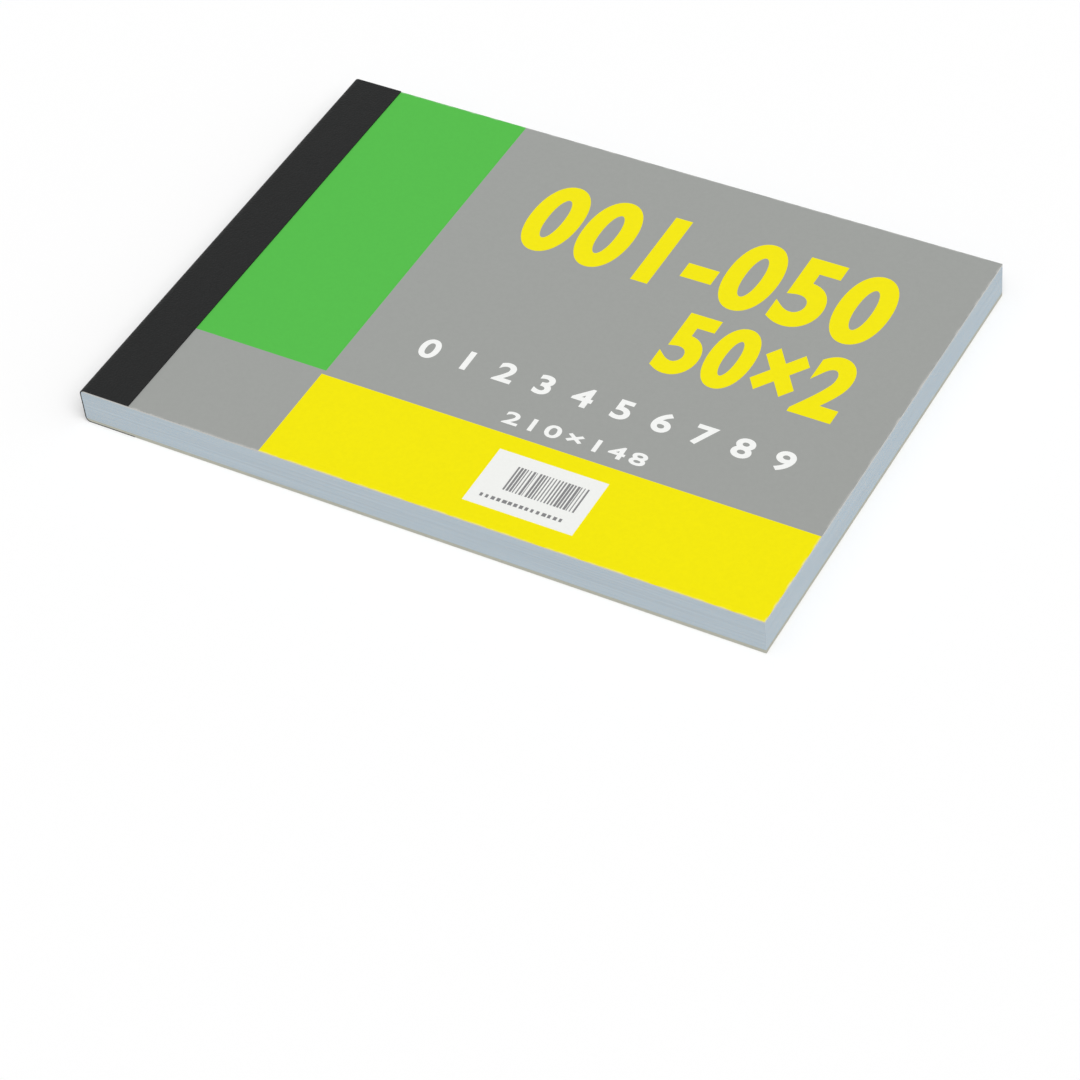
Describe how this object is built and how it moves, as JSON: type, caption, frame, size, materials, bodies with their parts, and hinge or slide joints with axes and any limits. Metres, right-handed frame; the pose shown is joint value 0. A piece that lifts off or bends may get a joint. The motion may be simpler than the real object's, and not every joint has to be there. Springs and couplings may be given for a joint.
{
  "type": "duplicate receipt book",
  "caption": "Side-stitched duplicate book with a taped spine, a printed card cover that opens, white and tinted leaves that turn, and tear-off slips.",
  "frame": {"origin": "under the middle of the closed book, on the surface it lies on", "axes": "+X from the spine to the fore-edge, +Y from the tail to the head, +Z from the back board to the cover"},
  "size_m": [0.21, 0.148, 0.012],
  "materials": {
    "cover_card": "printed card, satin",
    "pulp_board": "uncoated pale board",
    "spine_tape": "grained black book tape",
    "stitch_wire": "tinned wire",
    "original_paper": "uncoated white",
    "copy_paper": "uncoated pale blue",
    "label_paper": "coated white"
  },
  "bodies": {
    "binding": {"back_board": "pulp_board", "binding_tape": "spine_tape", "copies_04_05": "copy_paper", "copies_06_10": "copy_paper", "copies_11_15": "copy_paper", "copies_16_20": "copy_paper", "copies_21_25": "copy_paper", "copies_26_30": "copy_paper", "copies_31_35": "copy_paper", "copies_36_40": "copy_paper", "copies_41_45": "copy_paper", "copies_46_50": "copy_paper", "copy_stubs_01_03": "copy_paper", "front_cover_stub": "cover_card", "original_stubs_01_03": "original_paper", "originals_04_05": "original_paper", "originals_06_10": "original_paper", "originals_11_15": "original_paper", "originals_16_20": "original_paper", "originals_21_25": "original_paper", "originals_26_30": "original_paper", "originals_31_35": "original_paper", "originals_36_40": "original_paper", "originals_41_45": "original_paper", "originals_46_50": "original_paper", "wire_stitches": "stitch_wire"},
    "front_cover": {"front_cover": "cover_card", "tape_flap": "spine_tape", "bar_label": "label_paper"},
    "original_01": {"original_01_counterfoil": "original_paper"},
    "copy_01": {"copy_01_leaf": "copy_paper"},
    "original_02": {"original_02_counterfoil": "original_paper"},
    "copy_02": {"copy_02_leaf": "copy_paper"},
    "original_03": {"original_03_counterfoil": "original_paper"},
    "copy_03": {"copy_03_leaf": "copy_paper"},
    "slip_01": {"original_01_slip": "original_paper"},
    "slip_02": {"original_02_slip": "original_paper"},
    "slip_03": {"original_03_slip": "original_paper"}
  },
  "joints": [
    {"name": "front_cover_hinge", "type": "hinge", "parent": "binding", "child": "front_cover", "pos_m": [-0.096, 0, 0.012], "axis": [0, -1, 0], "range_deg": [0, 178]},
    {"name": "original_01_turn", "type": "hinge", "parent": "binding", "child": "original_01", "pos_m": [-0.096, 0, 0.012], "axis": [0, -1, 0], "range_deg": [0, 151.3]},
    {"name": "copy_01_turn", "type": "hinge", "parent": "binding", "child": "copy_01", "pos_m": [-0.096, 0, 0.012], "axis": [0, -1, 0], "range_deg": [0, 124.6]},
    {"name": "original_02_turn", "type": "hinge", "parent": "binding", "child": "original_02", "pos_m": [-0.096, 0, 0.012], "axis": [0, -1, 0], "range_deg": [0, 97.9]},
    {"name": "copy_02_turn", "type": "hinge", "parent": "binding", "child": "copy_02", "pos_m": [-0.096, 0, 0.012], "axis": [0, -1, 0], "range_deg": [0, 71.2]},
    {"name": "original_03_turn", "type": "hinge", "parent": "binding", "child": "original_03", "pos_m": [-0.096, 0, 0.012], "axis": [0, -1, 0], "range_deg": [0, 44.5]},
    {"name": "copy_03_turn", "type": "hinge", "parent": "binding", "child": "copy_03", "pos_m": [-0.096, 0, 0.012], "axis": [0, -1, 0], "range_deg": [0, 17.8]},
    {"name": "slip_01_tear_off", "type": "slide", "parent": "original_01", "child": "slip_01", "axis": [1, 0, 0], "range_m": [0, 0.195]},
    {"name": "slip_02_tear_off", "type": "slide", "parent": "original_02", "child": "slip_02", "axis": [1, 0, 0], "range_m": [0, 0.195]},
    {"name": "slip_03_tear_off", "type": "slide", "parent": "original_03", "child": "slip_03", "axis": [1, 0, 0], "range_m": [0, 0.195]}
  ],
  "couplings": [
    {"joint": "original_01_turn", "follows": "front_cover_hinge", "ratio": 0.85},
    {"joint": "copy_01_turn", "follows": "front_cover_hinge", "ratio": 0.7},
    {"joint": "original_02_turn", "follows": "front_cover_hinge", "ratio": 0.55},
    {"joint": "copy_02_turn", "follows": "front_cover_hinge", "ratio": 0.4},
    {"joint": "original_03_turn", "follows": "front_cover_hinge", "ratio": 0.25},
    {"joint": "copy_03_turn", "follows": "front_cover_hinge", "ratio": 0.1}
  ]
}
